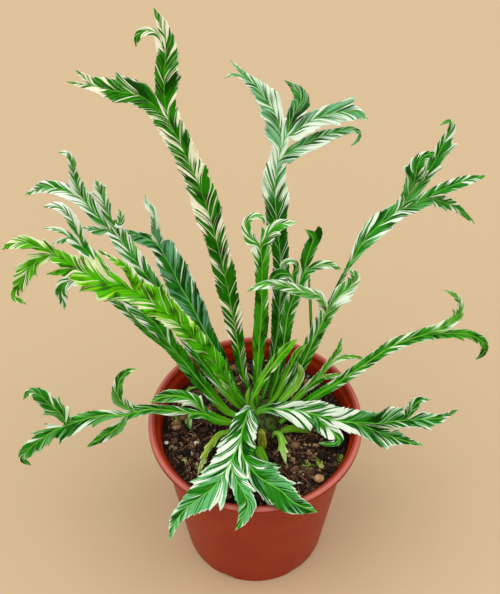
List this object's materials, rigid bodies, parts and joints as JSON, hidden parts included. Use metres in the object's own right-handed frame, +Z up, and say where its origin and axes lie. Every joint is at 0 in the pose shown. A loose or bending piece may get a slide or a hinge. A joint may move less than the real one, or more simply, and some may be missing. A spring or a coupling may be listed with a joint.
{
  "type": "potted bird's nest fern",
  "caption": "Bird's nest fern with forked, crested, white-streaked fronds growing from peat in a round tapered plastic nursery pot.",
  "frame": {"origin": "on the ground at the middle of the pot's flat underside", "axes": "+Z up along the pot's axis; the pictured front, with the frond that hangs over the rim, faces -Y; +X is to the viewer's right"},
  "size_m": [0.2654, 0.1671, 0.3414],
  "materials": {
    "pot_plastic": "satin moulded plastic",
    "peat": "moist crumbly peat",
    "rhizome": "matt plant stem",
    "petiole": "satin plant stalk",
    "blade_deep_green": "glossy leaf with cream streaks",
    "blade_blue_green": "satin leaf with white streaks",
    "blade_bright_green": "satin leaf with cream streaks",
    "blade_pale_green": "satin pale leaf",
    "grey_stone": "matt stone",
    "tan_stone": "matt stone",
    "green_stone": "matt stone"
  },
  "bodies": {
    "root": {"pot": "pot_plastic", "soil": "peat", "crown": "rhizome", "petiole_stub": "petiole", "frond_tall_left": "blade_deep_green", "frond_back_forked": "blade_blue_green", "frond_curl_top": "blade_bright_green", "frond_dark_broad": "blade_deep_green", "frond_left_high": "blade_blue_green", "frond_left_twin": "blade_deep_green", "frond_left_bright": "blade_bright_green", "frond_small_leaning": "blade_bright_green", "frond_crozier": "blade_deep_green", "frond_loop": "blade_blue_green", "frond_right_high": "blade_blue_green", "frond_small_upright": "blade_bright_green", "frond_small_curled": "blade_pale_green", "frond_small_forked": "blade_bright_green", "frond_right_low": "blade_bright_green", "frond_front": "blade_blue_green", "frond_right_front": "blade_blue_green", "frond_left_low": "blade_bright_green", "leaf_speckled": "blade_pale_green", "leaf_pale": "blade_pale_green", "leaf_olive": "blade_deep_green", "leaf_small_front": "blade_deep_green", "leaf_young": "blade_pale_green", "pebble_grey": "grey_stone", "pebble_tan": "tan_stone", "pebble_green": "green_stone"}
  },
  "joints": []
}
